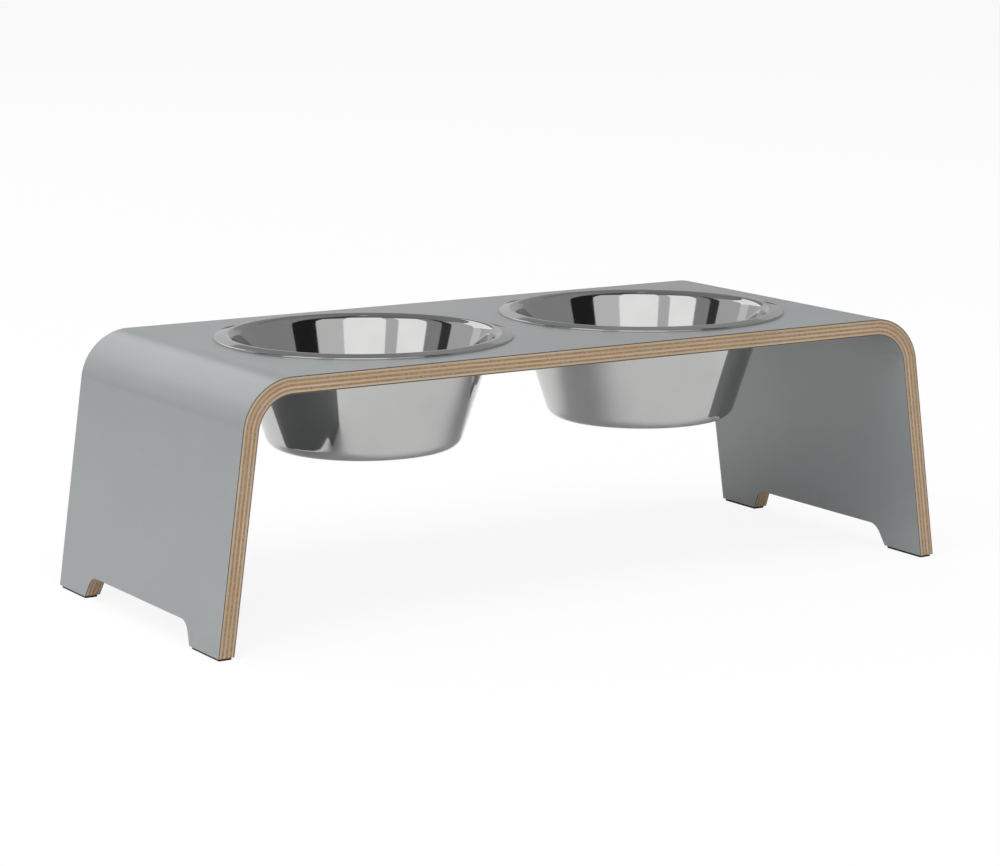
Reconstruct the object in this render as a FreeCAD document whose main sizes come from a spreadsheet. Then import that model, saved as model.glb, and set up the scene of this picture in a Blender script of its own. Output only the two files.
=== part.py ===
import FreeCAD, Part
import os
import Sketcher
from FreeCAD import Vector

# Elevated feeder: a bench bent from one laminated board, with two steel bowls dropped into its top.
# Millimetres. +X runs along the bench, -Y is the front and +Z is up. The origin is on the floor, under
# the middle of the bench.

# Driving sizes in millimetres, degrees and counts
SIZES = {
    # Bowls: rim_width runs from the wall's own line, where that passes the table top, out to the edge,
    # rim_height from the table top to the rim's crest, where the flange starts to fall to its lip, and
    # bowl_depth from the table top to the outside base
    "rim_diameter": 217.4,
    "rim_width": 13.3,
    "rim_height": 3.0,
    "flange_fall": 11.0,
    "rim_edge_radius": 0.8,
    "rim_bend_radius": 6.0,
    "bowl_depth": 80.0,
    "wall_taper": 17.9,
    "base_corner_radius": 11.2,
    "bowl_sheet": 0.7,
    # Table top round the bowls, measured from the rims, and the holes' room round the bowls' necks
    "bowl_gap": 25.6,
    "side_margin": 20.85,
    "end_margin": 17.7,
    "hole_clearance": 2.4,
    # Bent board
    "table_height": 189.2,
    "bend_radius": 38.8,
    "leg_splay": 7.87,
    "laminate_thickness": 0.8,
    "veneer_thickness": 1.5,
    "veneer_count": 7,
    # Feet, with the cut-out between them
    "foot_width": 44.0,
    "cutout_height": 15.8,
    "cutout_slope": 28.5,
    "cutout_corner_radius": 12.0,
    # Anti-slip pads
    "pad_thickness": 1.6,
    "adhesive_thickness": 0.2,
    "pad_side_inset": 1.1,
    "pad_end_inset": 1.5,
}

# Sizes that follow from the driving ones
RIM_RADIUS = "(Sizes.rim_diameter / 2)"
BOWL_X = "((Sizes.rim_diameter + Sizes.bowl_gap) / 2)"
RIM_UNDER = "(Sizes.rim_height - Sizes.bowl_sheet)"
RIM_BEND_DROP = f"(Sizes.rim_bend_radius - {RIM_UNDER})"
RIM_BEND_REACH = (
    f"(Sizes.rim_bend_radius / cos(Sizes.wall_taper) - {RIM_BEND_DROP} * tan(Sizes.wall_taper))"
)
RIM_BEND_X = f"({RIM_RADIUS} - Sizes.rim_width + {RIM_BEND_REACH})"
NECK_BITE = f"sqrt(Sizes.rim_bend_radius ^ 2 - {RIM_BEND_DROP} ^ 2)"
HOLE_RADIUS = f"({RIM_BEND_X} - {NECK_BITE} + Sizes.hole_clearance)"
BENCH_DEPTH = "(Sizes.rim_diameter + 2 * Sizes.side_margin)"
BOARD = "(2 * Sizes.laminate_thickness + Sizes.veneer_count * Sizes.veneer_thickness)"
BEND_X = f"({BOWL_X} + {RIM_RADIUS} + Sizes.end_margin)"
BEND_Z = "(Sizes.table_height - Sizes.bend_radius)"
FOOT_Z = "(Sizes.pad_thickness + Sizes.adhesive_thickness)"
LEG_RUN = f"(({BEND_Z} - {FOOT_Z}) * tan(Sizes.leg_splay))"
FOOT_SPAN = f"({BOARD} / cos(Sizes.leg_splay))"
FOOT_X = f"({BEND_X} + (Sizes.bend_radius - {BOARD} / 2) / cos(Sizes.leg_splay) + {LEG_RUN})"
FOOT_Y = f"(({BENCH_DEPTH} - Sizes.foot_width) / 2)"
CUTOUT_HALF = f"({BENCH_DEPTH} / 2 - Sizes.foot_width)"

# Point numbers of a sketch's edges, and the sketch's own origin and axes
START, END, CENTRE = range(1, 4)
X_AXIS, Y_AXIS = range(-1, -3, -1)
ORIGIN = (X_AXIS, START)

doc = FreeCAD.newDocument("elevated_pet_feeder")
sheet = doc.addObject("Spreadsheet::Sheet", "Sizes")
for row, (alias, size) in enumerate(SIZES.items(), start=1):
    sheet.set(f"A{row}", alias)
    sheet.set(f"B{row}", str(size))
    sheet.setAlias(f"B{row}", alias)
doc.recompute()


def number(expression):
    """Value of an expression of the sheet, for a sketch's first position."""
    return float(sheet.evalExpression(expression))


def polar(centre, radius, degrees):
    """Point on a circle, from its centre, radius and angle."""
    return centre + FreeCAD.Rotation(Vector(0, 0, 1), degrees).multVec(Vector(radius, 0, 0))


def add_sketch(body, name, plane_role):
    """New sketch on one of the body's own origin planes."""
    sketch = body.newObject("Sketcher::SketchObject", name)
    plane = next(item for item in body.Origin.OriginFeatures if item.Role == plane_role)
    sketch.AttachmentSupport = [(plane, "")]
    sketch.MapMode = "FlatFace"
    return sketch


def add_line(sketch, start, end):
    return sketch.addGeometry(Part.LineSegment(start, end))


def add_arc(sketch, centre, radius, start_degrees, end_degrees):
    """Arc that runs anticlockwise from its start to its end."""
    middle = polar(centre, radius, (start_degrees + end_degrees) / 2)
    return sketch.addGeometry(
        Part.Arc(polar(centre, radius, start_degrees), middle, polar(centre, radius, end_degrees))
    )


def tie(sketch, kind, *where):
    """Constraint with no size of its own."""
    sketch.addConstraint(Sketcher.Constraint(kind, *where))


def drive(sketch, kind, where, expression):
    """Constraint whose size is bound to the sheet."""
    size = number(expression)
    if kind == "Angle":
        first = FreeCAD.Units.Quantity(f"{size} deg").getValueAs("rad").Value
        expression = f"({expression}) * 1 deg"
    else:
        first = size
    index = sketch.addConstraint(Sketcher.Constraint(kind, *where, first))
    sketch.setExpression(f"Constraints[{index}]", expression)


def cut_through(body, sketch):
    """Pocket that passes through the whole body, both ways from its sketch."""
    pocket = body.newObject("PartDesign::Pocket", f"{sketch.Name}_cut")
    pocket.Profile = sketch
    pocket.Type = "ThroughAll"
    pocket.SideType = "Symmetric"
    sketch.Visibility = False


def add_bent_face(sketch, radius):
    """One face of the bent board: leg, bend, table, bend and leg. Returns its left and right legs."""
    splay = number("Sizes.leg_splay")
    bend = number(radius)
    left_centre = Vector(-number(BEND_X), number(BEND_Z), 0)
    right_centre = Vector(number(BEND_X), number(BEND_Z), 0)
    foot_x = number(f"{BEND_X} + {radius} / cos(Sizes.leg_splay) + {LEG_RUN}")
    left_foot = Vector(-foot_x, number(FOOT_Z), 0)
    right_foot = Vector(foot_x, number(FOOT_Z), 0)

    left_leg = add_line(sketch, left_foot, polar(left_centre, bend, 180 - splay))
    left_bend = add_arc(sketch, left_centre, bend, 90, 180 - splay)
    table = add_line(sketch, polar(left_centre, bend, 90), polar(right_centre, bend, 90))
    right_bend = add_arc(sketch, right_centre, bend, splay, 90)
    right_leg = add_line(sketch, polar(right_centre, bend, splay), right_foot)

    tie(sketch, "Tangent", left_leg, END, left_bend, END)
    tie(sketch, "Tangent", left_bend, START, table, START)
    tie(sketch, "Tangent", table, END, right_bend, END)
    tie(sketch, "Tangent", right_bend, START, right_leg, START)
    tie(sketch, "Equal", left_bend, right_bend)
    tie(sketch, "Symmetric", left_bend, CENTRE, right_bend, CENTRE, Y_AXIS)
    tie(sketch, "Symmetric", left_leg, START, right_leg, END, Y_AXIS)
    drive(sketch, "Radius", (right_bend,), radius)
    drive(sketch, "DistanceX", (*ORIGIN, right_bend, CENTRE), BEND_X)
    drive(sketch, "DistanceY", (*ORIGIN, right_bend, CENTRE), BEND_Z)
    drive(sketch, "DistanceY", (*ORIGIN, right_leg, END), FOOT_Z)
    drive(sketch, "Angle", (right_leg,), "Sizes.leg_splay - 90")
    return left_leg, right_leg


def add_bowl_holes(body):
    """Round holes through the table, one under each bowl."""
    sketch = add_sketch(body, "bowl_holes", "XY_Plane")
    up = Vector(0, 0, 1)
    radius = number(HOLE_RADIUS)
    left = sketch.addGeometry(Part.Circle(Vector(-number(BOWL_X), 0, 0), up, radius))
    right = sketch.addGeometry(Part.Circle(Vector(number(BOWL_X), 0, 0), up, radius))
    tie(sketch, "PointOnObject", right, CENTRE, X_AXIS)
    tie(sketch, "Symmetric", left, CENTRE, right, CENTRE, Y_AXIS)
    tie(sketch, "Equal", left, right)
    drive(sketch, "Radius", (right,), HOLE_RADIUS)
    drive(sketch, "DistanceX", (*ORIGIN, right, CENTRE), BOWL_X)
    cut_through(body, sketch)


def add_foot_cutouts(body):
    """Round-cornered gap that leaves two feet at the bottom of each leg."""
    sketch = add_sketch(body, "foot_cutouts", "YZ_Plane")
    slope = number("Sizes.cutout_slope")
    radius = number("Sizes.cutout_corner_radius")
    half = number(CUTOUT_HALF)
    low = number(FOOT_Z)
    arc_y = low + number("Sizes.cutout_height") - radius
    lean = number("tan(Sizes.cutout_slope)")
    arc_x = half - (arc_y - low) * lean - radius / number("cos(Sizes.cutout_slope)")
    left_centre = Vector(-arc_x, arc_y, 0)
    right_centre = Vector(arc_x, arc_y, 0)

    left_side = add_line(sketch, Vector(-half, low, 0), polar(left_centre, radius, 180 - slope))
    left_corner = add_arc(sketch, left_centre, radius, 90, 180 - slope)
    top = add_line(sketch, polar(left_centre, radius, 90), polar(right_centre, radius, 90))
    right_corner = add_arc(sketch, right_centre, radius, slope, 90)
    right_side = add_line(sketch, polar(right_centre, radius, slope), Vector(half, low, 0))
    bottom = add_line(sketch, Vector(half, low, 0), Vector(-half, low, 0))

    tie(sketch, "Tangent", left_side, END, left_corner, END)
    tie(sketch, "Tangent", left_corner, START, top, START)
    tie(sketch, "Tangent", top, END, right_corner, END)
    tie(sketch, "Tangent", right_corner, START, right_side, START)
    tie(sketch, "Coincident", right_side, END, bottom, START)
    tie(sketch, "Coincident", bottom, END, left_side, START)
    tie(sketch, "Equal", left_corner, right_corner)
    tie(sketch, "Symmetric", left_corner, CENTRE, right_corner, CENTRE, Y_AXIS)
    tie(sketch, "Symmetric", left_side, START, right_side, END, Y_AXIS)
    drive(sketch, "Radius", (right_corner,), "Sizes.cutout_corner_radius")
    drive(sketch, "DistanceX", (*ORIGIN, right_side, END), CUTOUT_HALF)
    drive(sketch, "DistanceY", (*ORIGIN, right_side, END), FOOT_Z)
    drive(sketch, "DistanceY", (right_side, END, top, END), "Sizes.cutout_height")
    drive(sketch, "Angle", (right_side,), "Sizes.cutout_slope - 90")
    cut_through(body, sketch)


def bent_layer(label, offset, thickness):
    """One bent sheet of the board; offset is how far its outer face lies below the board's own."""
    body = doc.addObject("PartDesign::Body", label)
    profile = add_sketch(body, "profile", "XZ_Plane")
    outer_radius = f"(Sizes.bend_radius - ({offset}))"
    outer_left, outer_right = add_bent_face(profile, outer_radius)
    inner_left, inner_right = add_bent_face(profile, f"({outer_radius} - {thickness})")
    for outer, inner, point in ((outer_left, inner_left, START), (outer_right, inner_right, END)):
        foot = add_line(profile, profile.getPoint(outer, point), profile.getPoint(inner, point))
        tie(profile, "Coincident", outer, point, foot, START)
        tie(profile, "Coincident", inner, point, foot, END)

    pad = body.newObject("PartDesign::Pad", "sheet")
    pad.Profile = profile
    pad.SideType = "Symmetric"
    pad.setExpression("Length", BENCH_DEPTH)
    profile.Visibility = False
    doc.recompute()
    add_bowl_holes(body)
    add_foot_cutouts(body)
    return body


def draw_bowl_section(section):
    """Half section of a bowl: base, wall, falling flange and the lip that seats on the table at height 0."""
    sheet_size = number("Sizes.bowl_sheet")
    taper = number("Sizes.wall_taper")
    rim = number(RIM_RADIUS)
    fall = number("Sizes.flange_fall")
    edge = number("Sizes.rim_edge_radius")
    bend = number("Sizes.rim_bend_radius")
    corner = number("Sizes.base_corner_radius")
    base = -number("Sizes.bowl_depth")
    slope = number("tan(Sizes.wall_taper)")
    square = number("cos(Sizes.wall_taper)")
    wall_top = Vector(number(f"{RIM_RADIUS} - Sizes.rim_width"), 0, 0)
    bend_centre = Vector(number(RIM_BEND_X), -number(RIM_BEND_DROP), 0)
    corner_y = base + corner
    corner_centre = Vector(wall_top.x + corner_y * slope - corner / square, corner_y, 0)
    flange = polar(bend_centre, bend + sheet_size, 90 - fall)
    flange_slope = number("tan(Sizes.flange_fall)")
    flange_square = number("cos(Sizes.flange_fall)")

    def below_flange(reach, depth):
        """Point at this reach from the axis and this distance below the flange's top face."""
        return Vector(reach, flange.y - (reach - flange.x) * flange_slope - depth / flange_square, 0)

    edge_centre = below_flange(rim - edge, edge)
    lip_top = below_flange(rim - sheet_size, sheet_size)

    base_outside = add_line(section, Vector(0, base, 0), polar(corner_centre, corner, -90))
    corner_outside = add_arc(section, corner_centre, corner, -90, -taper)
    wall_outside = add_line(
        section, polar(corner_centre, corner, -taper), polar(bend_centre, bend, 180 - taper)
    )
    bend_under = add_arc(section, bend_centre, bend, 90 - fall, 180 - taper)
    rim_under = add_line(section, polar(bend_centre, bend, 90 - fall), lip_top)
    lip_inside = add_line(section, lip_top, Vector(rim - sheet_size, 0, 0))
    lip_seat = add_line(section, Vector(rim - sheet_size, 0, 0), Vector(rim, 0, 0))
    lip_outside = add_line(section, Vector(rim, 0, 0), polar(edge_centre, edge, 0))
    lip_edge = add_arc(section, edge_centre, edge, 0, 90 - fall)
    rim_top = add_line(section, polar(edge_centre, edge, 90 - fall), flange)
    bend_top = add_arc(section, bend_centre, bend + sheet_size, 90 - fall, 180 - taper)
    wall_inside = add_line(
        section,
        polar(bend_centre, bend + sheet_size, 180 - taper),
        polar(corner_centre, corner - sheet_size, -taper),
    )
    corner_inside = add_arc(section, corner_centre, corner - sheet_size, -90, -taper)
    base_inside = add_line(
        section, polar(corner_centre, corner - sheet_size, -90), Vector(0, base + sheet_size, 0)
    )
    axis = add_line(section, Vector(0, base + sheet_size, 0), Vector(0, base, 0))
    mark = section.addGeometry(Part.Point(wall_top), True)

    for first, second in (
        ((base_outside, END), (corner_outside, START)),
        ((corner_outside, END), (wall_outside, START)),
        ((wall_outside, END), (bend_under, END)),
        ((bend_under, START), (rim_under, START)),
        ((lip_outside, END), (lip_edge, START)),
        ((lip_edge, END), (rim_top, START)),
        ((rim_top, END), (bend_top, START)),
        ((bend_top, END), (wall_inside, START)),
        ((wall_inside, END), (corner_inside, END)),
        ((corner_inside, START), (base_inside, START)),
    ):
        tie(section, "Tangent", *first, *second)
    for first, second in (
        ((rim_under, END), (lip_inside, START)),
        ((lip_inside, END), (lip_seat, START)),
        ((lip_seat, END), (lip_outside, START)),
        ((base_inside, END), (axis, START)),
        ((axis, END), (base_outside, START)),
        ((bend_top, CENTRE), (bend_under, CENTRE)),
        ((corner_inside, CENTRE), (corner_outside, CENTRE)),
    ):
        tie(section, "Coincident", *first, *second)
    for line in (base_outside, lip_seat, base_inside):
        tie(section, "Horizontal", line)
    for line in (lip_inside, lip_outside, axis):
        tie(section, "Vertical", line)
    tie(section, "Parallel", wall_outside, wall_inside)
    tie(section, "Parallel", rim_top, rim_under)
    tie(section, "PointOnObject", axis, END, Y_AXIS)
    tie(section, "PointOnObject", lip_seat, END, X_AXIS)
    tie(section, "PointOnObject", mark, START, wall_outside)
    tie(section, "PointOnObject", mark, START, X_AXIS)
    drive(section, "DistanceY", (axis, END, *ORIGIN), "Sizes.bowl_depth")
    drive(section, "DistanceY", (bend_under, CENTRE, *ORIGIN), RIM_BEND_DROP)
    drive(section, "DistanceX", (*ORIGIN, lip_seat, END), RIM_RADIUS)
    drive(section, "DistanceX", (*ORIGIN, lip_seat, START), f"{RIM_RADIUS} - Sizes.bowl_sheet")
    drive(section, "DistanceX", (*ORIGIN, mark, START), f"{RIM_RADIUS} - Sizes.rim_width")
    drive(section, "Radius", (corner_outside,), "Sizes.base_corner_radius")
    drive(section, "Radius", (bend_under,), "Sizes.rim_bend_radius")
    drive(section, "Radius", (bend_top,), "Sizes.rim_bend_radius + Sizes.bowl_sheet")
    drive(section, "Radius", (lip_edge,), "Sizes.rim_edge_radius")
    drive(section, "Angle", (wall_outside,), "90 - Sizes.wall_taper")
    drive(section, "Angle", (rim_top,), "180 - Sizes.flange_fall")


def bowl(label, side):
    """Drawn steel bowl, turned about its axis, with its rim resting on the table."""
    body = doc.addObject("PartDesign::Body", label)
    section = add_sketch(body, "section", "XZ_Plane")
    draw_bowl_section(section)
    turn = body.newObject("PartDesign::Revolution", "drawn_shell")
    turn.Profile = section
    turn.ReferenceAxis = (section, ["V_Axis"])
    turn.Angle = 360
    section.Visibility = False
    body.setExpression("Placement.Base.x", f"{side} * {BOWL_X}")
    body.setExpression("Placement.Base.z", "Sizes.table_height")
    return body


def foot_strip(label, side, end, low, height):
    """Flat strip under one foot, inset from the foot's outline; low is its underside."""
    strip = doc.addObject("Part::Box", label)
    strip.setExpression("Length", f"{FOOT_SPAN} - 2 * Sizes.pad_side_inset")
    strip.setExpression("Width", "Sizes.foot_width - 2 * Sizes.pad_end_inset")
    strip.setExpression("Height", height)
    corner_x = f"{side} * {FOOT_X} - {FOOT_SPAN} / 2 + Sizes.pad_side_inset"
    corner_y = f"{end} * {FOOT_Y} - Sizes.foot_width / 2 + Sizes.pad_end_inset"
    strip.setExpression("Placement.Base.x", corner_x)
    strip.setExpression("Placement.Base.y", corner_y)
    strip.setExpression("Placement.Base.z", low)
    return strip


# Bench, from its outer face inwards
LAMINATE = "Sizes.laminate_thickness"
pieces = [bent_layer("outer_laminate", "0", LAMINATE)]
for layer in range(SIZES["veneer_count"]):
    below = f"{LAMINATE} + {layer} * Sizes.veneer_thickness"
    pieces.append(bent_layer(f"veneer_{layer + 1}", below, "Sizes.veneer_thickness"))
pieces.append(bent_layer("inner_laminate", f"{BOARD} - {LAMINATE}", LAMINATE))

# Bowls
pieces.append(bowl("left_bowl", -1))
pieces.append(bowl("right_bowl", 1))

# Pads and the films that hold them to the feet
for end_name, end in (("front", -1), ("rear", 1)):
    for side_name, side in (("left", -1), ("right", 1)):
        foot = f"{end_name}_{side_name}"
        pad_top = "Sizes.pad_thickness"
        pieces.append(foot_strip(f"{foot}_pad", side, end, "0", pad_top))
        pieces.append(foot_strip(f"{foot}_adhesive", side, end, pad_top, "Sizes.adhesive_thickness"))

doc.recompute()
for item in doc.Objects:
    if "Invalid" in item.State or "Error" in item.State:
        raise RuntimeError(f"{item.Label} failed to build")
    if item.TypeId == "PartDesign::Pocket" and item.Shape.Volume >= item.BaseFeature.Shape.Volume:
        raise RuntimeError(f"{item.Label} cuts nothing")
for piece in pieces:
    if piece.Shape.isNull() or not piece.Shape.isValid():
        raise RuntimeError(f"{piece.Label} has no valid shape")

os.makedirs("parts", exist_ok=True)
for piece in pieces:
    piece.Shape.exportStep(f"parts/{piece.Label}.step")
    print(f"{piece.Label}: {piece.Shape.Volume:.0f} mm3")
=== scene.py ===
# %% [markdown]
# # A raised feeder with two steel bowls
# The real object is a low bench, bent in one piece from plywood with a grey laminate on both faces. Two
# polished steel bowls drop into round holes in its top, and thin rubber pads stop it from sliding.
# The CAD model already holds every piece at its real size and place. This lesson rebuilds the pieces
# that show as smooth meshes in the same frame, gives each one its finish, and lights them.

# %% Load the CAD model as a fixed frame
import math
import bmesh
import bpy
from mathutils import Matrix, Vector


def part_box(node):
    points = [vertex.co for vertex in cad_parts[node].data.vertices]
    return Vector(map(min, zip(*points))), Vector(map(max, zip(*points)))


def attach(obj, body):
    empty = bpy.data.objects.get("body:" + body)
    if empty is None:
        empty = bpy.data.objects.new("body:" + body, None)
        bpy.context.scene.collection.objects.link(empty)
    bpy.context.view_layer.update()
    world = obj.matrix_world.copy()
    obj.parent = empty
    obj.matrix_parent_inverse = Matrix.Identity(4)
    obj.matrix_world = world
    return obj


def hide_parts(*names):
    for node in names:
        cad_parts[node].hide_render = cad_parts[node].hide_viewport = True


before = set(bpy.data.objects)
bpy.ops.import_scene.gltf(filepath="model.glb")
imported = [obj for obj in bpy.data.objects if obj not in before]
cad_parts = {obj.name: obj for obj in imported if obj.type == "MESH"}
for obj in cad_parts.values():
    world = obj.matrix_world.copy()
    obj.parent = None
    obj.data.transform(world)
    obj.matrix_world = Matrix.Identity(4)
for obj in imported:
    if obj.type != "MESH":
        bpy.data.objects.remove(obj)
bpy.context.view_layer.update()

# %% [markdown]
# ## The camera
# The picture was taken from the front left, a little above the table, with a long lens that keeps the
# parallel edges nearly parallel. A camera can be stored as a matrix, but a point to look at, two angles
# and a distance are numbers that a person can read and change, so they are used here.

# %% Place the camera
MM = 0.001
LOOK_AT = Vector((-8.21, -5.07, 107.88)) * MM
CAMERA_AZIMUTH = math.radians(-31.79)
CAMERA_ELEVATION = math.radians(10.436)
CAMERA_DISTANCE = 2348.7 * MM
LENS_MM = 113.24


def direction(azimuth, elevation):
    """Unit vector from the object towards a place round it: azimuth 0 is the front, 90 the right."""
    flat = math.cos(elevation)
    return Vector((math.sin(azimuth) * flat, -math.cos(azimuth) * flat, math.sin(elevation)))


camera = bpy.data.objects.new("camera", bpy.data.cameras.new("camera"))
bpy.context.scene.collection.objects.link(camera)
bpy.context.scene.camera = camera
towards_camera = direction(CAMERA_AZIMUTH, CAMERA_ELEVATION)
camera.location = LOOK_AT + CAMERA_DISTANCE * towards_camera
camera.rotation_euler = (-towards_camera).to_track_quat("-Z", "Y").to_euler()
camera.data.lens = LENS_MM
print("camera at", [round(value, 3) for value in camera.location])

# %% [markdown]
# ## Measure the board
# A good copy takes its sizes from the model, not from memory. The box of the outer laminate gives the
# height of the table, the depth of the bench and the level of the feet. The splay of the legs and the
# radius of the bend are design sizes, and together they place the centre of each bend.

# %% Measure the bent board
BEND_RADIUS = 38.8 * MM
LEG_SPLAY = math.radians(7.87)
BEND_TURN = math.radians(90) - LEG_SPLAY
LAYERS = ["outer_laminate", *(f"veneer_{count}" for count in range(1, 8)), "inner_laminate"]

board_low, board_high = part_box("outer_laminate")
table_top, half_depth, foot_level = board_high.z, board_high.y, board_low.z
bend_z = table_top - BEND_RADIUS
leg_run = (bend_z - foot_level) * math.tan(LEG_SPLAY)
bend_x = board_high.x - BEND_RADIUS / math.cos(LEG_SPLAY) - leg_run

layer_depths = [table_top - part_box(name)[1].z for name in LAYERS]
laminate_thickness = layer_depths[1]
board_thickness = layer_depths[-1] + laminate_thickness
layer_depths.append(board_thickness)
print("board", round(board_thickness / MM, 2), "mm thick, bend centres at", round(bend_x / MM, 2), "mm")

# %% [markdown]
# ## A pen for outlines
# Most shapes here start as a thin line of edges: the gap between the feet, or the section of a bowl.
# Two moves of a pen are enough to draw them. A straight stroke extrudes the last vertex, and an arc
# spins it round a centre, so that a curve is described by its centre and turn and not by its points.

# %% Draw with straight strokes and arcs


def line_to(bm, last, place):
    """Straight stroke from the last vertex to a place. Returns the new last vertex."""
    new = bmesh.ops.extrude_vert_indiv(bm, verts=[last])["verts"][0]
    new.co = place
    return new


def arc_about(bm, last, centre, axis, turn, steps):
    """Arc of the last vertex about an axis through the centre. Returns the new last vertex."""
    spun = bmesh.ops.spin(bm, geom=[last], cent=centre, axis=axis, angle=turn, steps=steps)
    return next(item for item in spun["geom_last"] if isinstance(item, bmesh.types.BMVert))


def only(kind, geometry):
    """The vertices, edges or faces among what an operator returned."""
    return [item for item in geometry if isinstance(item, kind)]


# %% [markdown]
# ## The gap between two feet
# At the bottom of each leg a shallow gap with sloping sides leaves two feet, so that the feeder stands
# firm on an uneven floor. On the real board it is routed after pressing. Half of its outline is drawn
# from the middle outwards: a level top, a round corner and a straight slope down to the foot.

# %% Draw the foot gap
FOOT_WIDTH = 44.0 * MM
GAP_HEIGHT = 15.8 * MM
GAP_SLOPE = math.radians(28.5)
GAP_CORNER_RADIUS = 12.0 * MM
GAP_CORNER_STEPS = 10

gap_top = foot_level + GAP_HEIGHT
gap_half = half_depth - FOOT_WIDTH
gap_corner_z = gap_top - GAP_CORNER_RADIUS
gap_corner_y = (
    gap_half
    - (gap_corner_z - foot_level) * math.tan(GAP_SLOPE)
    - GAP_CORNER_RADIUS / math.cos(GAP_SLOPE)
)


def draw_gap_half(bm):
    """Half outline of the gap, in the plane x = 0."""
    middle = bmesh.ops.create_vert(bm, co=(0, 0, gap_top))["vert"][0]
    corner_start = line_to(bm, middle, (0, gap_corner_y, gap_top))
    corner = (0, gap_corner_y, gap_corner_z)
    turn = GAP_SLOPE - math.radians(90)
    corner_end = arc_about(bm, corner_start, corner, (1, 0, 0), turn, GAP_CORNER_STEPS)
    line_to(bm, corner_end, (0, gap_half, foot_level))


print("foot gap", round(2 * gap_half / MM, 1), "mm wide and", round(GAP_HEIGHT / MM, 1), "mm high")

# %% [markdown]
# ## One face of a layer
# The board is nine sheets, each bent a little tighter than the one above it. A sheet could be bent from
# a flat grid with a modifier, but building it in the order leg, bend, table keeps every arc exact: the
# gap outline is pulled up into a leg, the top line of the leg is spun round the bend, and the table is
# filled round the bowl hole. A narrow strip on both sides of the bend keeps the shading of the flats flat.

# %% Build the right half of one face
HOLE_RADIUS = 98.2 * MM
HOLE_STEPS = 128
HOLE_RING = 4.0 * MM
BEND_STEPS = 40
LEG_LEVEL = 5.0 * MM
SHADING_STRIP = 2.0 * MM
MERGE = 0.001 * MM

bowl_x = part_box("right_bowl")[0].lerp(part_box("right_bowl")[1], 0.5).x
leg_up = Vector((-math.sin(LEG_SPLAY), 0, math.cos(LEG_SPLAY)))


def pull(bm, edges, move):
    """Extrudes edges by a vector. Returns the new edges."""
    made = bmesh.ops.extrude_edge_only(bm, edges=edges)["geom"]
    bmesh.ops.translate(bm, vec=move, verts=only(bmesh.types.BMVert, made))
    ends = set(only(bmesh.types.BMVert, made))
    return [edge for edge in only(bmesh.types.BMEdge, made) if set(edge.verts) <= ends]


def build_foot_part(bm, radius):
    """Feet and gap of a leg, up to a level line. Returns the edges of that line."""
    level = gap_top + LEG_LEVEL
    draw_gap_half(bm)
    above = bmesh.ops.extrude_edge_only(bm, edges=bm.edges[:])["geom"]
    flatten = Matrix.Translation((0, 0, -level))
    bmesh.ops.scale(bm, vec=(1, 1, 0), space=flatten, verts=only(bmesh.types.BMVert, above))
    foot_side = [edge for edge in bm.edges if all(abs(v.co.y - gap_half) < MERGE for v in edge.verts)]
    pull(bm, foot_side, (0, FOOT_WIDTH, 0))
    bmesh.ops.mirror(bm, geom=bm.verts[:] + bm.edges[:] + bm.faces[:], axis="Y", merge_dist=MERGE)

    lean = Matrix.Identity(4)
    lean[0][2] = -math.tan(LEG_SPLAY)
    lean[0][3] = bend_x + radius / math.cos(LEG_SPLAY) + bend_z * math.tan(LEG_SPLAY)
    bmesh.ops.transform(bm, matrix=lean, verts=bm.verts)
    return [edge for edge in bm.edges if all(abs(v.co.z - level) < MERGE for v in edge.verts)]


def build_leg_and_bend(bm, radius):
    """Leg and bend above the feet. Returns the edges where the flat table starts."""
    line = build_foot_part(bm, radius)
    bend_start_z = bend_z + radius * math.sin(LEG_SPLAY)
    height = (bend_start_z - gap_top - LEG_LEVEL) / math.cos(LEG_SPLAY)
    line = pull(bm, line, leg_up * (height - SHADING_STRIP))
    line = pull(bm, line, leg_up * SHADING_STRIP)
    spun = bmesh.ops.spin(
        bm, geom=line, cent=(bend_x, 0, bend_z), axis=(0, 1, 0), angle=-BEND_TURN, steps=BEND_STEPS
    )
    line = only(bmesh.types.BMEdge, spun["geom_last"])
    return pull(bm, line, (-SHADING_STRIP, 0, 0))


def fill_table(bm, line, height):
    """Flat half of the table from the line to x = 0, with its bowl hole."""
    place = Matrix.Translation((bowl_x, 0, height))
    hole = bmesh.ops.create_circle(
        bm, cap_ends=False, radius=HOLE_RADIUS, segments=HOLE_STEPS, matrix=place
    )["verts"]
    rim = list({edge for vertex in hole for edge in vertex.link_edges})
    ring = bmesh.ops.extrude_edge_only(bm, edges=rim)["geom"]
    grow = 1 + HOLE_RING / HOLE_RADIUS
    ring_verts = only(bmesh.types.BMVert, ring)
    bmesh.ops.scale(bm, vec=(grow, grow, 1), space=place.inverted(), verts=ring_verts)
    ring_edges = [e for e in only(bmesh.types.BMEdge, ring) if set(e.verts) <= set(ring_verts)]

    corners = [v for edge in line for v in edge.verts if abs(abs(v.co.y) - half_depth) < MERGE]
    ends = [line_to(bm, corner, (0, corner.co.y, height)) for corner in corners]
    sides = [edge for end in ends for edge in end.link_edges]
    middle = bmesh.ops.contextual_create(bm, geom=ends)["edges"]
    bmesh.ops.triangle_fill(
        bm, use_beauty=True, use_dissolve=False, edges=line + ring_edges + sides + middle, normal=(0, 0, 1)
    )


def build_face(depth):
    """Whole face of a layer whose outer side lies at this depth in the board."""
    bm = bmesh.new()
    line = build_leg_and_bend(bm, BEND_RADIUS - depth)
    fill_table(bm, line, table_top - depth)
    bmesh.ops.mirror(bm, geom=bm.verts[:] + bm.edges[:] + bm.faces[:], axis="X", merge_dist=MERGE)
    bmesh.ops.remove_doubles(bm, verts=bm.verts, dist=MERGE)
    bmesh.ops.recalc_face_normals(bm, faces=bm.faces)
    return bm


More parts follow.
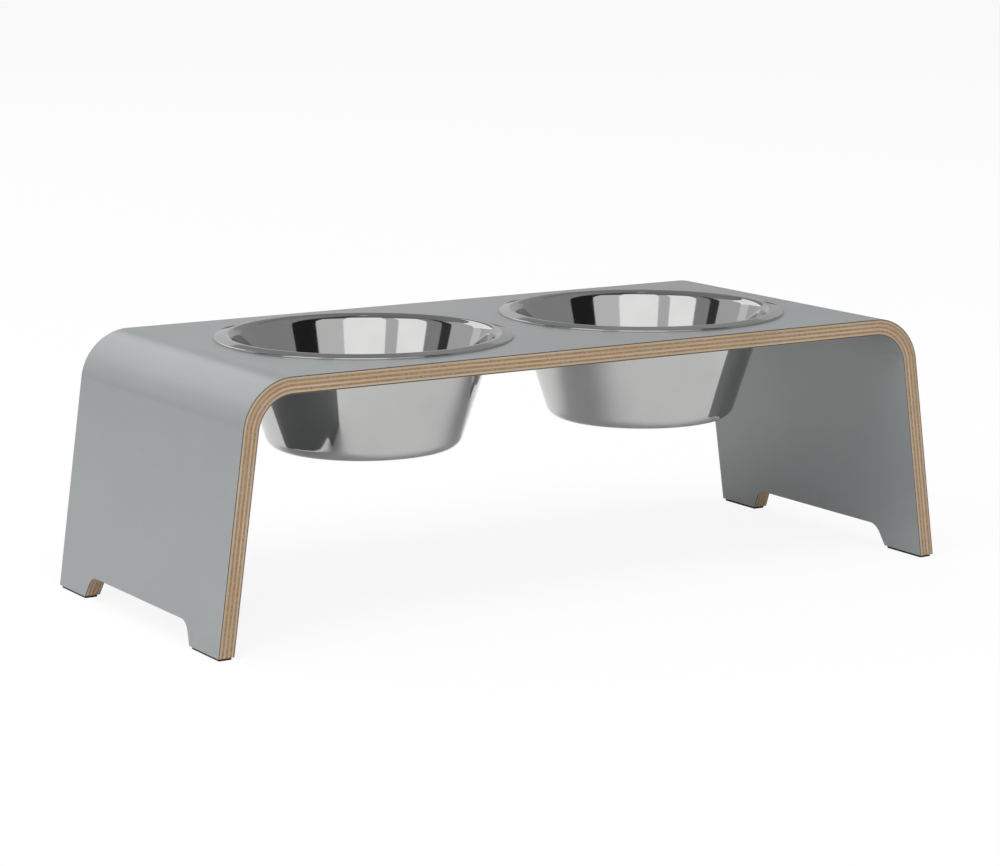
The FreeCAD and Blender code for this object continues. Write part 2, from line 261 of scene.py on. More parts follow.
trial = build_face(0)
print("one face of a layer:", len(trial.faces), "faces")
trial.free()

# %% [markdown]
# ## From a face to a sheet
# A veneer has a constant thickness, so its inner face is the outer one moved inwards: straight down
# under the table, towards the axis in the bends, and level in the legs, where the feet are sawn flat.
# Extruding the whole face and moving each zone of the copy does exactly that. Then every cut edge gets a
# tiny round, because a sanded edge always catches a line of light.

# %% Give a face its thickness
EDGE_ANGLE = math.radians(40)
ROUND_STEPS = 2


def thicken(bm, depth, thickness):
    """Extrudes the face inwards by the sheet's thickness, zone by zone."""
    radius = BEND_RADIUS - depth
    bend_start_z = bend_z + radius * math.sin(LEG_SPLAY)
    copy = bmesh.ops.extrude_face_region(bm, geom=bm.faces[:])["geom"]
    verts = only(bmesh.types.BMVert, copy)
    table = [v for v in verts if abs(v.co.x) < bend_x + MERGE]
    legs = [v for v in verts if v.co.z < bend_start_z - MERGE]
    bends = set(verts) - set(table) - set(legs)
    shrink = 1 - thickness / radius
    bmesh.ops.translate(bm, vec=(0, 0, -thickness), verts=table)
    for side in (-1, 1):
        leg = [v for v in legs if v.co.x * side > 0]
        bend = [v for v in bends if v.co.x * side > 0]
        bmesh.ops.translate(bm, vec=(-side * thickness / math.cos(LEG_SPLAY), 0, 0), verts=leg)
        axis = Matrix.Translation((-side * bend_x, 0, -bend_z))
        bmesh.ops.scale(bm, vec=(shrink, 1, shrink), space=axis, verts=bend)
    bmesh.ops.recalc_face_normals(bm, faces=bm.faces)


def round_edges(bm, width):
    """Rounds every edge that is sharper than the edge angle."""
    sharp = [edge for edge in bm.edges if edge.calc_face_angle(0) > EDGE_ANGLE]
    bmesh.ops.bevel(
        bm, geom=sharp, offset=width, offset_type="OFFSET", segments=ROUND_STEPS, profile=0.5,
        affect="EDGES", clamp_overlap=True, material=-1,
    )


# %% [markdown]
# ## Remember the flat blank
# Wood grain and laminate run along the board and follow it round the bends. A pattern in plain object
# coordinates would cut straight through the curve instead. So each vertex keeps where it lay before the
# board was bent: how far along the blank, how far across it and how deep. The finishes read this
# attribute, and their patterns bend with the sheet.

# %% Store the place in the flat blank


def flat_place(point):
    """Place of a point in the unbent board: along it, across it, and its depth below the outer face."""
    out, up = abs(point.x) - bend_x, point.z - bend_z
    turn = math.atan2(out, up)
    if out <= 0:
        along, depth = abs(point.x), table_top - point.z
    elif turn < BEND_TURN:
        along, depth = bend_x + BEND_RADIUS * turn, BEND_RADIUS - math.hypot(out, up)
    else:
        down = out * math.sin(LEG_SPLAY) - up * math.cos(LEG_SPLAY)
        along = bend_x + BEND_RADIUS * BEND_TURN + down
        depth = BEND_RADIUS - out * math.cos(LEG_SPLAY) - up * math.sin(LEG_SPLAY)
    return math.copysign(along, point.x), point.y, depth


def store_flat_place(mesh):
    """Writes the flat blank's coordinates to the mesh as an attribute."""
    attribute = mesh.attributes.new("flat_blank", "FLOAT_VECTOR", "POINT")
    places = [value for vertex in mesh.vertices for value in flat_place(vertex.co)]
    attribute.data.foreach_set("vector", places)


# %% [markdown]
# ## Lay up the board
# Nine sheets make the board: grey laminate outside, seven veneers with the grain of each across the
# next, and grey laminate inside. Each one is its own piece, as in the CAD model, and stands for the CAD
# node of the same sheet. Large faces weigh most in the shading, so that flats stay flat beside a round.

# %% Make the nine sheets
LAMINATE_ROUND = 0.18 * MM
VENEER_ROUND = 0.10 * MM


def new_piece(name, bm, body, node):
    """Turns a bmesh into a smooth-shaded piece that rides on a body and stands for a CAD node."""
    mesh = bpy.data.meshes.new(name)
    for face in bm.faces:
        face.smooth = True
    bm.to_mesh(mesh)
    bm.free()
    piece = bpy.data.objects.new(name, mesh)
    bpy.context.scene.collection.objects.link(piece)
    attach(piece, body)
    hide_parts(node)
    return piece


def keep_flats_flat(piece):
    """Lets the large faces lead the shading at rounded edges."""
    weighted = piece.modifiers.new("large_faces_lead", "WEIGHTED_NORMAL")
    weighted.mode = "FACE_AREA"
    weighted.keep_sharp = True


sheets = {}
for name, depth, next_depth in zip(LAYERS, layer_depths, layer_depths[1:]):
    sheet_mesh = build_face(depth)
    thicken(sheet_mesh, depth, next_depth - depth)
    round_edges(sheet_mesh, LAMINATE_ROUND if "laminate" in name else VENEER_ROUND)
    sheets[name] = new_piece(f"{name}_sheet", sheet_mesh, "bench", name)
    store_flat_place(sheets[name].data)
    keep_flats_flat(sheets[name])
    print(name, "has", len(sheets[name].data.polygons), "faces")

# %% [markdown]
# ## The bowls
# Each bowl is pressed from one disc of steel and polished to a mirror. Its shape could be carved from a
# cylinder, but one section says it all. The section is drawn with the pen: up the inside, over the crest
# of the rim, down the falling flange to its lip, and back along the outside. Seen from low down, the far
# half of such a flange hides behind its crest.

# %% Draw the section of a bowl
RIM_WIDTH = 13.3 * MM
RIM_EDGE_RADIUS = 0.8 * MM
RIM_BEND_RADIUS = 6.0 * MM
FLANGE_FALL = math.radians(11)
LIP_FOOT_RADIUS = 0.3 * MM
BOWL_SHEET = 0.7 * MM
WALL_TAPER = math.radians(17.9)
BASE_CORNER_RADIUS = 11.2 * MM
ARC_STEPS = 24
BOWL_STEPS = 192

bowl_low, bowl_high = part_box("right_bowl")
rim_radius = (bowl_high.x - bowl_low.x) / 2
rim_top, base_z = bowl_high.z, bowl_low.z
wall_slope = math.tan(WALL_TAPER)
wall_square = math.cos(WALL_TAPER)


def wall_reach(height):
    """Distance of the wall's outside from the axis, at a height."""
    return rim_radius - RIM_WIDTH - (table_top - height) * wall_slope


rim_bend_z = rim_top - BOWL_SHEET - RIM_BEND_RADIUS
rim_bend = Vector((wall_reach(rim_bend_z) + RIM_BEND_RADIUS / wall_square, 0, rim_bend_z))
base_corner_z = base_z + BASE_CORNER_RADIUS
base_corner = Vector((wall_reach(base_corner_z) - BASE_CORNER_RADIUS / wall_square, 0, base_corner_z))
flange_up = Vector((math.sin(FLANGE_FALL), 0, math.cos(FLANGE_FALL)))


def below_flange(reach, depth):
    """Point at a reach from the axis, this far below the flange's top face."""
    start = rim_bend + (RIM_BEND_RADIUS + BOWL_SHEET) * flange_up
    fall = (reach - start.x) * math.tan(FLANGE_FALL)
    return Vector((reach, 0, start.z - fall - depth / math.cos(FLANGE_FALL)))


def smooth_line_to(bm, last, place):
    """Straight stroke with a short step at both ends, which keeps the shading beside an arc true."""
    start, end = last.co.copy(), Vector(place)
    step = (end - start).normalized() * min(SHADING_STRIP, (end - start).length / 3)
    return line_to(bm, line_to(bm, line_to(bm, last, start + step), end - step), end)


def draw_bowl_section(bm):
    """Half section of a bowl about the axis x = 0, from its inside base to its outside base."""
    turn = math.radians(90) - WALL_TAPER
    outer_bend = RIM_BEND_RADIUS + BOWL_SHEET
    wall_out = Vector((-wall_square, 0, math.sin(WALL_TAPER)))
    edge = below_flange(rim_radius - RIM_EDGE_RADIUS, RIM_EDGE_RADIUS)
    foot = Vector((rim_radius - LIP_FOOT_RADIUS, 0, table_top + LIP_FOOT_RADIUS))
    lip_x = rim_radius - BOWL_SHEET

    pen = bmesh.ops.create_vert(bm, co=(0, 0, base_z + BOWL_SHEET))["vert"][0]
    pen = smooth_line_to(bm, pen, (base_corner.x, 0, base_z + BOWL_SHEET))
    pen = arc_about(bm, pen, base_corner, (0, 1, 0), -turn, ARC_STEPS)
    pen = smooth_line_to(bm, pen, rim_bend + outer_bend * wall_out)
    pen = arc_about(bm, pen, rim_bend, (0, 1, 0), turn + FLANGE_FALL, ARC_STEPS)
    pen = smooth_line_to(bm, pen, edge + RIM_EDGE_RADIUS * flange_up)
    pen = arc_about(bm, pen, edge, (0, 1, 0), math.radians(90) - FLANGE_FALL, ARC_STEPS)
    pen = smooth_line_to(bm, pen, (rim_radius, 0, foot.z))
    pen = arc_about(bm, pen, foot, (0, 1, 0), math.radians(90), ARC_STEPS)
    pen = line_to(bm, pen, (lip_x, 0, table_top))
    pen = line_to(bm, pen, below_flange(lip_x, BOWL_SHEET))
    pen = smooth_line_to(bm, pen, rim_bend + RIM_BEND_RADIUS * flange_up)
    pen = arc_about(bm, pen, rim_bend, (0, 1, 0), -turn - FLANGE_FALL, ARC_STEPS)
    outside_corner = base_corner - BASE_CORNER_RADIUS * wall_out
    pen = smooth_line_to(bm, pen, outside_corner)
    pen = arc_about(bm, pen, base_corner, (0, 1, 0), turn, ARC_STEPS)
    smooth_line_to(bm, pen, (0, 0, base_z))


print("bowl", round(2 * rim_radius / MM, 1), "mm wide and", round((rim_top - base_z) / MM, 1), "mm high")

# %% [markdown]
# ## Turn the bowls
# A mirror shows every facet, so the section is spun round the upright axis in many steps, like clay on a
# potter's wheel, and the last step is merged with the first to close the seam. Only the sharp corners of
# the lip stay sharp in the shading. Each bowl rides on a body of its own, because it lifts out of its hole.

# %% Turn the two bowls
LIP_ANGLE = math.radians(60)
bowls = {}
for side, name in ((-1, "left_bowl"), (1, "right_bowl")):
    bm = bmesh.new()
    draw_bowl_section(bm)
    bmesh.ops.spin(
        bm, geom=bm.verts[:] + bm.edges[:], cent=(0, 0, 0), axis=(0, 0, 1), angle=math.radians(360),
        steps=BOWL_STEPS, use_merge=True,
    )
    bmesh.ops.remove_doubles(bm, verts=bm.verts, dist=MERGE)
    bmesh.ops.recalc_face_normals(bm, faces=bm.faces)
    for edge in bm.edges:
        edge.smooth = edge.calc_face_angle(0) < LIP_ANGLE
    bmesh.ops.translate(bm, vec=(side * bowl_x, 0, 0), verts=bm.verts)
    bowls[name] = new_piece(f"{name}_shell", bm, name, name)
    print(name, "has", len(bowls[name].data.polygons), "faces")

# %% [markdown]
# ## Pads and films
# Under each foot lies a thin strip of black rubber, held by a film of adhesive. Both are cut from sheet
# with rounded corners. A cube scaled to the CAD box, with its upright edges rounded first and its rims
# after, gives that die-cut shape.

# %% Make the foot strips
STRIP_CORNER = 1.2 * MM
STRIP_ROUND = {"pad": 0.25 * MM, "adhesive": 0.03 * MM}
STRIP_CORNER_STEPS = 5

foot_strips = {"pad": [], "adhesive": []}
for end in ("front", "rear"):
    for side in ("left", "right"):
        for kind in foot_strips:
            node = f"{end}_{side}_{kind}"
            low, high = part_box(node)
            bm = bmesh.new()
            place = Matrix.Translation((low + high) / 2) @ Matrix.Diagonal((*(high - low), 1))
            bmesh.ops.create_cube(bm, size=1, matrix=place)
            upright = [e for e in bm.edges if abs(e.verts[0].co.z - e.verts[1].co.z) > MERGE]
            bmesh.ops.bevel(
                bm, geom=upright, offset=STRIP_CORNER, offset_type="OFFSET", segments=STRIP_CORNER_STEPS,
                profile=0.5, affect="EDGES", material=-1,
            )
            round_edges(bm, STRIP_ROUND[kind])
            strip = new_piece(f"{node}_strip", bm, "bench", node)
            keep_flats_flat(strip)
            foot_strips[kind].append(strip)
print("foot strips:", {kind: len(made) for kind, made in foot_strips.items()})

# %% [markdown]
# ## Nodes for the finishes
# A finish is a small network of nodes round one shader. It could be drawn by hand in the node editor, but
# a script can be read and repeated. The first helpers start a finish and add a node with its settings.

# %% Start a finish


def new_finish(name):
    """New material. Returns it with its node tree and its shader."""
    material = bpy.data.materials.new(name)
    material.use_nodes = True
    return material, material.node_tree, material.node_tree.nodes["Principled BSDF"]


def add_node(tree, kind, inputs=None, **settings):
    """Adds a node, sets its properties, and sets or links its inputs."""
    node = tree.nodes.new(kind)
    for key, value in settings.items():
        setattr(node, key, value)
    for key, value in (inputs or {}).items():
        if isinstance(value, bpy.types.NodeSocket):
            tree.links.new(value, node.inputs[key])
        else:
            node.inputs[key].default_value = value
    return node


def grey(level):
    """Neutral colour of one level."""
    return (level, level, level, 1)


# %% [markdown]
# ## What all finishes share
# Real surfaces are never quite even. A noise texture stands for that unevenness, and the same noise then
# drives the colour, the roughness and the height, so that a paler fibre also stands higher and is rougher.

# %% Add noise, tones, roughness and bump


def calculate(tree, operation, first, second=0.0):
    """Result of a Math node."""
    return add_node(tree, "ShaderNodeMath", {0: first, 1: second}, operation=operation).outputs["Value"]


def noise(tree, place, scale, detail):
    """Noise texture, whose values lie round 0.5."""
    inputs = {"Vector": place, "Scale": scale, "Detail": detail}
    return add_node(tree, "ShaderNodeTexNoise", inputs).outputs["Fac"]


def two_tones(tree, factor, dark, light, spread=0.2):
    """Colour that runs from one tone to the other within a spread on both sides of 0.5."""
    node = add_node(tree, "ShaderNodeValToRGB", {"Fac": factor})
    first, last = node.color_ramp.elements
    first.position, last.position = 0.5 - spread, 0.5 + spread
    first.color, last.color = (*dark, 1), (*light, 1)
    return node.outputs["Color"]


def set_roughness(tree, shader, factor, low, high):
    """Lets the roughness follow a texture between two limits."""
    limits = add_node(tree, "ShaderNodeMapRange", {"Value": factor, "To Min": low, "To Max": high})
    tree.links.new(limits.outputs["Result"], shader.inputs["Roughness"])


def set_bump(tree, shader, height, strength, distance):
    """Lets a texture raise the surface a little."""
    bump = add_node(tree, "ShaderNodeBump", {"Height": height, "Strength": strength, "Distance": distance})
    tree.links.new(bump.outputs["Normal"], shader.inputs["Normal"])


# %% [markdown]
# ## Grey laminate
# The faces are a satin sheet of pressed paper and resin. Its colour is a printed paper a tenth of a
# millimetre thick, with brown paper under it, so the cut edge shows a thin dark line. The depth in the
# flat blank tells both apart: near either face of the board it is grey, and further in it is brown.

# %% Make the laminate finish
PRINT_DEPTH = 0.10 * MM
PRINT_TONES = (0.330, 0.349, 0.354), (0.372, 0.391, 0.396)
CORE_TONES = (0.075, 0.055, 0.040), (0.125, 0.095, 0.070)
LAMINATE_IOR = 1.8

laminate, tree, shader = new_finish("satin_grey_laminate")
flat = add_node(tree, "ShaderNodeAttribute", attribute_name="flat_blank").outputs["Vector"]
depth = add_node(tree, "ShaderNodeSeparateXYZ", {"Vector": flat}).outputs["Z"]
fine = noise(tree, flat, scale=1500.0, detail=3.0)
cloud = noise(tree, flat, scale=9.0, detail=2.0)
speck = calculate(tree, "MULTIPLY", calculate(tree, "ADD", fine, cloud), 0.5)
printed = two_tones(tree, speck, *PRINT_TONES)
core = two_tones(tree, fine, *CORE_TONES)
from_inside = calculate(tree, "SUBTRACT", board_thickness, depth)
from_nearest = calculate(tree, "MINIMUM", depth, from_inside)
cut = calculate(tree, "GREATER_THAN", from_nearest, PRINT_DEPTH)
colour = add_node(tree, "ShaderNodeMix", {"Factor": cut, "A": printed, "B": core}, data_type="RGBA")
tree.links.new(colour.outputs["Result"], shader.inputs["Base Color"])
shader.inputs["IOR"].default_value = LAMINATE_IOR
set_roughness(tree, shader, fine, low=0.24, high=0.34)
set_bump(tree, shader, fine, strength=0.15, distance=0.02 * MM)
for name in ("outer_laminate", "inner_laminate"):
    sheets[name].data.materials.append(laminate)
print("laminate with", len(tree.nodes), "nodes")

# %% [markdown]
# ## Wood veneer
# Every veneer is the same wood, laid with its grain along the board or across it. Cut across its fibres,
# wood looks darker, because light sinks into the open pores. So the finish stretches its grain along one
# axis of the flat blank, and darkens where the surface faces along that axis. The light and dark stripes
# of a plywood edge then come out by themselves.

# %% Make the two veneer finishes
LONG_FIBRE, SHORT_FIBRE = 9.0, 620.0
ALONG_BOARD = (LONG_FIBRE, SHORT_FIBRE, SHORT_FIBRE)
ACROSS_BOARD = (SHORT_FIBRE, LONG_FIBRE, SHORT_FIBRE)
SIDE_GRAIN_TONES = (0.60, 0.432, 0.262), (0.88, 0.722, 0.535)
END_GRAIN_TONES = (0.36, 0.230, 0.132), (0.64, 0.470, 0.315)
FIBRE_SPREAD = 0.25
PATCH_TINTS = (1.0, 0.90, 0.80), (1.0, 1.0, 1.0)


def wood_finish(name, scales, grain_is_across):
    """Veneer whose fibres run along the axis with the small scale."""
    material, tree, shader = new_finish(name)
    flat = add_node(tree, "ShaderNodeAttribute", attribute_name="flat_blank").outputs["Vector"]
    stretched = add_node(tree, "ShaderNodeMapping", {"Vector": flat, "Scale": scales}).outputs["Vector"]
    fibre = noise(tree, stretched, scale=1.0, detail=4.0)
    patch = noise(tree, stretched, scale=0.13, detail=1.0)
    normal = add_node(tree, "ShaderNodeNewGeometry").outputs["Normal"]
    facing = add_node(tree, "ShaderNodeSeparateXYZ", {"Vector": normal}).outputs["Y"]
    across = calculate(tree, "ABSOLUTE", facing)
    end_grain = across if grain_is_across else calculate(tree, "SUBTRACT", 1.0, across)
    side = two_tones(tree, fibre, *SIDE_GRAIN_TONES, spread=FIBRE_SPREAD)
    end = two_tones(tree, fibre, *END_GRAIN_TONES, spread=FIBRE_SPREAD)
    wood = add_node(tree, "ShaderNodeMix", {"Factor": end_grain, "A": side, "B": end}, data_type="RGBA")
    tint = two_tones(tree, patch, *PATCH_TINTS)
    tinted = add_node(
        tree, "ShaderNodeMix", {"Factor": 1.0, "A": wood.outputs["Result"], "B": tint},
        data_type="RGBA", blend_type="MULTIPLY",
    )
    tree.links.new(tinted.outputs["Result"], shader.inputs["Base Color"])
    set_roughness(tree, shader, fibre, low=0.40, high=0.62)
    set_bump(tree, shader, fibre, strength=0.3, distance=0.05 * MM)
    return material


veneer_finishes = {
    "veneer_long_grain": wood_finish("wood_along_the_board", ALONG_BOARD, grain_is_across=False),
    "veneer_cross_grain": wood_finish("wood_across_the_board", ACROSS_BOARD, grain_is_across=True),
}
for count in range(1, 8):
    grain = "veneer_long_grain" if count % 2 else "veneer_cross_grain"
    sheets[f"veneer_{count}"].data.materials.append(veneer_finishes[grain])
print("veneers finished:", list(veneer_finishes))

# %% [markdown]
# ## Polished steel
# A polished bowl reflects a little over half of the light and shows its surroundings clearly. What
# little texture it has was left by the buffing wheel: hair-fine rings round its axis. They are made from
# the distance to the axis and the height, and change only the roughness a little.

# %% Make the steel finish
STEEL_TONES = (0.530, 0.530, 0.526), (0.560, 0.560, 0.556)


def steel_finish(name, centre_x):
    """Mirror-polished steel with faint rings round the bowl's own axis."""
    material, tree, shader = new_finish(name)
    place = add_node(tree, "ShaderNodeTexCoord").outputs["Object"]
    to_axis = {"Vector": place, "Location": (-centre_x, 0, 0)}
    centred = add_node(tree, "ShaderNodeMapping", to_axis).outputs["Vector"]
    flattened = add_node(tree, "ShaderNodeVectorMath", {0: centred, 1: (1, 1, 0)}, operation="MULTIPLY")
    reach = add_node(tree, "ShaderNodeVectorMath", {0: flattened.outputs["Vector"]}, operation="LENGTH")
    height = add_node(tree, "ShaderNodeSeparateXYZ", {"Vector": centred}).outputs["Z"]
    reach_and_height = {"X": reach.outputs["Value"], "Y": height}
    ring = add_node(tree, "ShaderNodeCombineXYZ", reach_and_height).outputs["Vector"]
    rings = noise(tree, ring, scale=1400.0, detail=2.0)
    haze = noise(tree, centred, scale=35.0, detail=3.0)
    tree.links.new(two_tones(tree, haze, *STEEL_TONES), shader.inputs["Base Color"])
    shader.inputs["Metallic"].default_value = 1.0
    set_roughness(tree, shader, rings, low=0.03, high=0.09)
    return material


for side, name in ((-1, "left_bowl"), (1, "right_bowl")):
    bowls[name].data.materials.append(steel_finish(f"polished_steel_{name}", side * bowl_x))
print("steel on", list(bowls))

# %% [markdown]
# ## Rubber and adhesive
# The pads are matt black rubber with a fine moulded grain that grips the floor. The film above each pad
# is a clear adhesive. Only its edge shows, and against the rubber that looks smoky, so a dark and rather
# glossy colour stands for it better than real glass would.

# %% Make the pad and film finishes
RUBBER_TONES = (0.010, 0.010, 0.010), (0.022, 0.022, 0.022)
FILM_TONES = (0.045, 0.043, 0.040), (0.085, 0.082, 0.076)

rubber, tree, shader = new_finish("matt_black_rubber")
place = add_node(tree, "ShaderNodeTexCoord").outputs["Object"]
grain = noise(tree, place, scale=1800.0, detail=3.0)
tree.links.new(two_tones(tree, grain, *RUBBER_TONES), shader.inputs["Base Color"])
set_roughness(tree, shader, grain, low=0.65, high=0.85)
set_bump(tree, shader, grain, strength=0.4, distance=0.05 * MM)

film, tree, shader = new_finish("smoky_adhesive_film")
place = add_node(tree, "ShaderNodeTexCoord").outputs["Object"]
milk = noise(tree, place, scale=700.0, detail=2.0)
tree.links.new(two_tones(tree, milk, *FILM_TONES), shader.inputs["Base Color"])
set_roughness(tree, shader, milk, low=0.30, high=0.45)

for kind, material in (("pad", rubber), ("adhesive", film)):
    for strip in foot_strips[kind]:
        strip.data.materials.append(material)
print("pads and films finished")

# %% [markdown]
# ## The floor
# Catalogue pictures stand on white. The floor is pale paper that takes the shadow, but to the camera most
# of it glows white by itself, so that no extra light has to fall on the object. The Light Path node tells
# those rays from the ones that light the object. In mirrors the paper is brighter than white, as in an
# overexposed picture, but keeps its shade, because the polished bowls show the dark under the bench. From
# below it is clear, so that the underside can be looked at.

# %% Lay the floor
FLOOR_SIZE = 30.0
FLOOR_DROP = 0.05 * MM
floor_mesh = bmesh.new()
place = Matrix.Translation((0, 0, -FLOOR_DROP))
bmesh.ops.create_grid(floor_mesh, x_segments=1, y_segments=1, size=FLOOR_SIZE / 2, matrix=place)
floor = bpy.data.objects.new("floor", bpy.data.meshes.new("floor"))
floor_mesh.to_mesh(floor.data)
floor_mesh.free()
bpy.context.scene.collection.objects.link(floor)
print("floor", FLOOR_SIZE, "m wide")

# %% Make the paper of the floor
FLOOR_COLOUR = 0.66
CAMERA_GLOW = 0.76
GLOW_STRENGTH = 1.15
MIRROR_COLOUR = 1.16


def mix_shaders(tree, share, first, second):
    """Mix of two shaders, in which the share belongs to the second."""
    return add_node(tree, "ShaderNodeMixShader", {0: share, 1: first, 2: second}).outputs["Shader"]


def looking_rays(tree):
    """Two switches: one for the camera's rays, also through glass, and one for mirrored rays."""
    path = add_node(tree, "ShaderNodeLightPath").outputs
    looks = calculate(tree, "MAXIMUM", path["Is Camera Ray"], path["Is Transmission Ray"])
    return looks, path["Is Glossy Ray"]


paper, tree, shader = new_finish("white_paper_floor")
shader.inputs["Base Color"].default_value = grey(FLOOR_COLOUR)
shader.inputs["Roughness"].default_value = 1.0
shader.inputs["Specular IOR Level"].default_value = 0.0
bright = add_node(tree, "ShaderNodeBsdfDiffuse", {"Color": grey(MIRROR_COLOUR)}).outputs["BSDF"]
glow = add_node(tree, "ShaderNodeEmission", {"Strength": GLOW_STRENGTH}).outputs["Emission"]
clear = add_node(tree, "ShaderNodeBsdfTransparent").outputs["BSDF"]
looks, mirrored = looking_rays(tree)
sheet = mix_shaders(tree, mirrored, shader.outputs["BSDF"], bright)
glowing = mix_shaders(tree, calculate(tree, "MULTIPLY", looks, CAMERA_GLOW), sheet, glow)
from_below = add_node(tree, "ShaderNodeNewGeometry").outputs["Backfacing"]
surface = mix_shaders(tree, from_below, glowing, clear)
tree.links.new(surface, tree.nodes["Material Output"].inputs["Surface"])
floor.data.materials.append(paper)
print("paper with", len(tree.nodes), "nodes")

# %% [markdown]
# ## The background
# The sky has two jobs. To the camera and in mirrors it is plain white, like the paper. As a light it is
# dim, and brighter on the left, on the side of the main light, so that it fills the shadows without
# flattening them. One sky does both when the kind of ray chooses between the two levels.

# %% Set the background
SKY_LEFT, SKY_RIGHT = 0.58, 0.28
world = bpy.data.worlds.new("studio")
bpy.context.scene.world = world
world.use_nodes = True
tree = world.node_tree
seen = calculate(tree, "MAXIMUM", *looking_rays(tree))
towards = add_node(tree, "ShaderNodeTexCoord").outputs["Generated"]
to_right = add_node(tree, "ShaderNodeSeparateXYZ", {"Vector": towards}).outputs["X"]
across_sky = {"Value": to_right, "From Min": -1.0, "To Min": SKY_LEFT, "To Max": SKY_RIGHT}
fill = add_node(tree, "ShaderNodeMapRange", across_sky).outputs["Result"]
level = add_node(tree, "ShaderNodeMapRange", {"Value": seen, "To Min": fill, "To Max": 1.0})
sky = tree.nodes["Background"]
sky.inputs["Color"].default_value = grey(1.0)
tree.links.new(level.outputs["Result"], sky.inputs["Strength"])
print("sky from", SKY_LEFT, "on the left to", SKY_RIGHT, "on the right")

# %% [markdown]
# ## Studio light
# Three large softboxes light the object: one from the left, one from above the front, and one from behind,
# whose soft line of light along the bend shows how round it is. They stand far away and are wide, so that
# both bowls are lit alike. Only the rear one is seen in mirrors: what else the steel shows comes next.

# %% Place the softboxes
scene = bpy.context.scene
scene.view_settings.view_transform = "Standard"
LAMP_DISTANCE = 5.0


def add_softbox(name, azimuths, elevations, radiance, mirrored):
    """Rectangular lamp that faces the object and fills the given degrees of its surroundings."""
    azimuth, elevation = (math.radians(sum(limits) / 2) for limits in (azimuths, elevations))
    wide, high = (math.radians(limits[1] - limits[0]) for limits in (azimuths, elevations))
    lamp = bpy.data.lights.new(name, "AREA")
    lamp.shape = "RECTANGLE"
    lamp.size = 2 * LAMP_DISTANCE * math.tan(wide / 2) * math.cos(elevation)
    lamp.size_y = 2 * LAMP_DISTANCE * math.tan(high / 2)
    lamp.energy = radiance * math.pi * lamp.size * lamp.size_y
    softbox = bpy.data.objects.new(name, lamp)
    towards = direction(azimuth, elevation)
    softbox.location = LAMP_DISTANCE * towards
    softbox.rotation_euler = (-towards).to_track_quat("-Z", "Y").to_euler()
    softbox.visible_camera = False
    softbox.visible_glossy = mirrored
    scene.collection.objects.link(softbox)
    print(name, round(lamp.size, 2), "by", round(lamp.size_y, 2), "m,", round(lamp.energy, 1), "W")


add_softbox("left_softbox", azimuths=(-92, -64), elevations=(8, 50), radiance=1.33, mirrored=False)
add_softbox("top_softbox", azimuths=(-77, 13), elevations=(50, 86), radiance=2.25, mirrored=False)
add_softbox("rear_softbox", azimuths=(165, 212), elevations=(20, 40), radiance=1.2, mirrored=True)

# %% [markdown]
# ## Cards for the mirrors
# Polished metal has no colour of its own: it looks like steel when it mirrors dark and light shapes. A
# photographer stands black and grey cards round it for that. Here each card is a strip of a cylinder,
# spun from one upright edge, that only mirrored rays can see, so it takes no light from the object.

# %% Stand the cards round the object
CARD_DISTANCE = 6.0
CARD_STEP = math.radians(3)


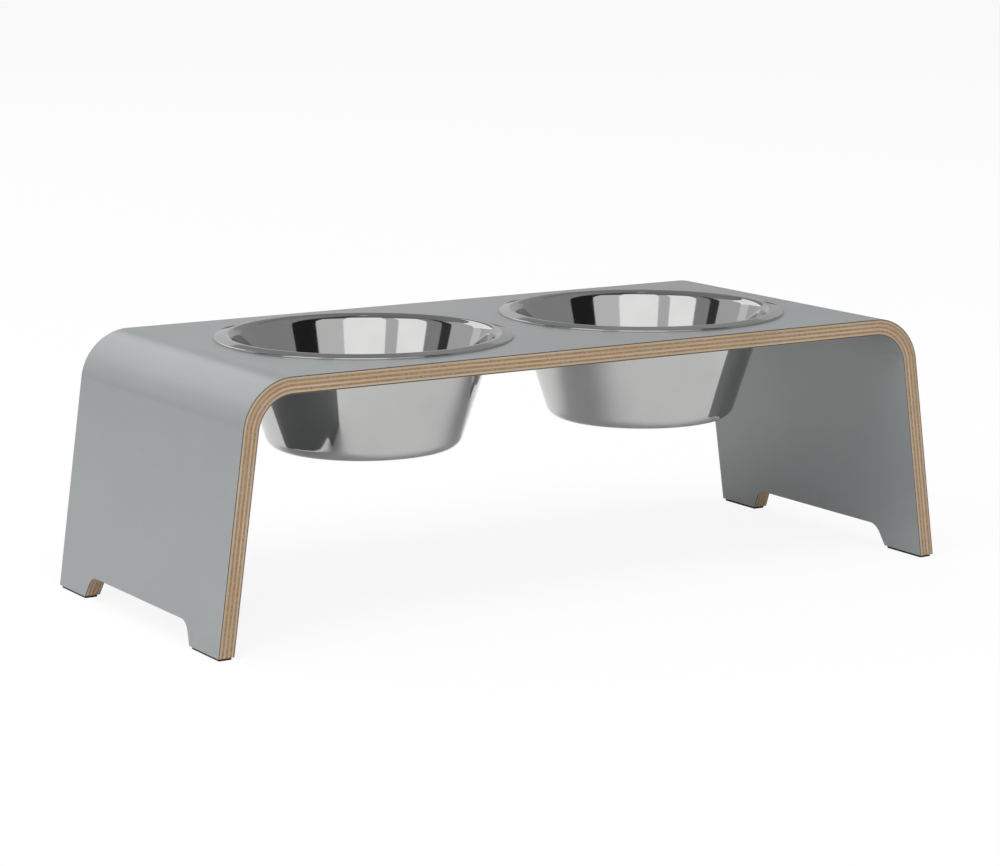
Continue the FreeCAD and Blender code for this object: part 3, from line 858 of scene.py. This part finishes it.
def add_card(name, azimuths, elevations, level):
    """Curved card between two azimuths and two elevations, in degrees."""
    start, end, low, high = (math.radians(limit) for limit in (*azimuths, *elevations))
    bm = bmesh.new()
    foot = CARD_DISTANCE * direction(start, 0)
    bottom = bmesh.ops.create_vert(bm, co=foot + Vector((0, 0, CARD_DISTANCE * math.tan(low))))["vert"][0]
    line_to(bm, bottom, foot + Vector((0, 0, CARD_DISTANCE * math.tan(high))))
    steps = math.ceil((end - start) / CARD_STEP)
    bmesh.ops.spin(
        bm, geom=bm.verts[:] + bm.edges[:], cent=(0, 0, 0), axis=(0, 0, 1), angle=end - start, steps=steps
    )
    card = bpy.data.objects.new(name, bpy.data.meshes.new(name))
    bm.to_mesh(card.data)
    bm.free()
    scene.collection.objects.link(card)
    card.visible_camera = False
    card.visible_diffuse = False
    card.visible_shadow = False
    material, tree, shader = new_finish(name)
    glow = add_node(tree, "ShaderNodeEmission", {"Color": grey(level)}).outputs["Emission"]
    tree.links.new(glow, tree.nodes["Material Output"].inputs["Surface"])
    tree.nodes.remove(shader)
    material.cycles.emission_sampling = "NONE"
    card.data.materials.append(material)


for name, azimuths, elevations, level in (
    ("left_window_card", (-92, -64), (0, 50), 1.28),
    ("pale_card_between_windows", (-64, -52), (0, 50), 0.66),
    ("front_window_card", (-52, -11), (0, 50), 1.28),
    ("pale_card_front", (-11, 16), (0, 50), 0.78),
    ("black_card_front_right", (16, 41), (0, 50), 0.02),
    ("grey_card_right", (41, 115), (3, 40), 0.33),
    ("grey_card_rear_right", (115, 148), (3, 20), 0.45),
    ("dark_card_rear_right_high", (115, 148), (20, 40), 0.33),
    ("dark_card_rear_high", (148, 165), (20, 40), 0.28),
    ("pale_card_rear", (148, 199), (3, 20), 0.58),
    ("pale_card_rear_left", (199, 212), (3, 20), 0.82),
    ("black_card_rear", (41, 212), (0, 3), 0.09),
    ("rear_softbox_back", (165, 212), (20, 40), 0.0),
    ("grey_card_rear_left", (212, 241), (0, 40), 0.58),
    ("black_card_left", (241, 252), (0, 50), 0.05),
    ("dark_card_left", (252, 268), (0, 50), 0.33),
    ("white_ceiling_front", (-52, -11), (50, 56), 1.50),
    ("dark_ceiling_front", (-52, -11), (56, 88), 0.22),
    ("dark_ceiling_front_left", (-75, -52), (50, 88), 0.22),
    ("dark_ceiling_front_right", (-11, 41), (50, 88), 0.09),
    ("grey_ceiling_right", (41, 100), (40, 88), 0.33),
    ("dark_ceiling_rear", (100, 241), (40, 88), 0.26),
    ("dark_ceiling_left", (241, 285), (50, 88), 0.22),
):
    add_card(name, azimuths, elevations, level)
print("cards at", CARD_DISTANCE, "m")
